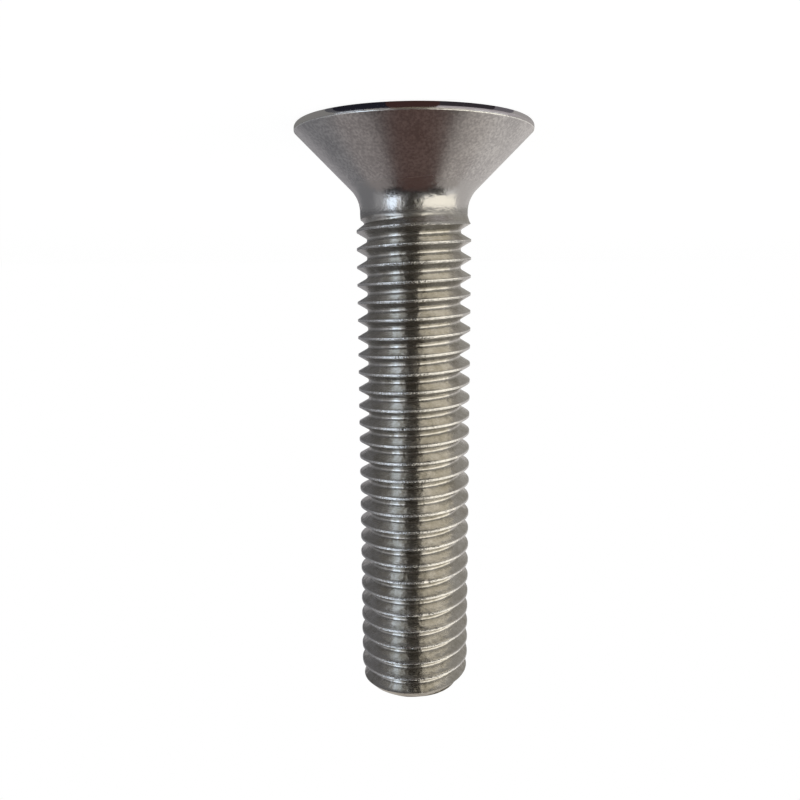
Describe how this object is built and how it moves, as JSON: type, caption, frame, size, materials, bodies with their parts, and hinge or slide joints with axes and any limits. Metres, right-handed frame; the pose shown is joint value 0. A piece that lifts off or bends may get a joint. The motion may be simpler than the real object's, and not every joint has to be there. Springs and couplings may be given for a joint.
{
  "type": "countersunk socket screw",
  "caption": "Countersunk screw with a flat conical head, a hexagon drive socket and a threaded shank, which clamps a plate to a tapped hole and sits flush with it.",
  "frame": {"origin": "centre of the head's flat face, where the screw stands on its head", "axes": "+Z along the screw's axis, from the head to the tip; +X towards one corner of the hexagon socket, +Y towards the middle of one of its flats"},
  "size_m": [0.0198, 0.0198, 0.0495],
  "materials": {
    "stainless_steel": "satin, headed and rolled, slightly warm grey"
  },
  "bodies": {
    "root": {"countersunk_screw": "stainless_steel"}
  },
  "joints": []
}
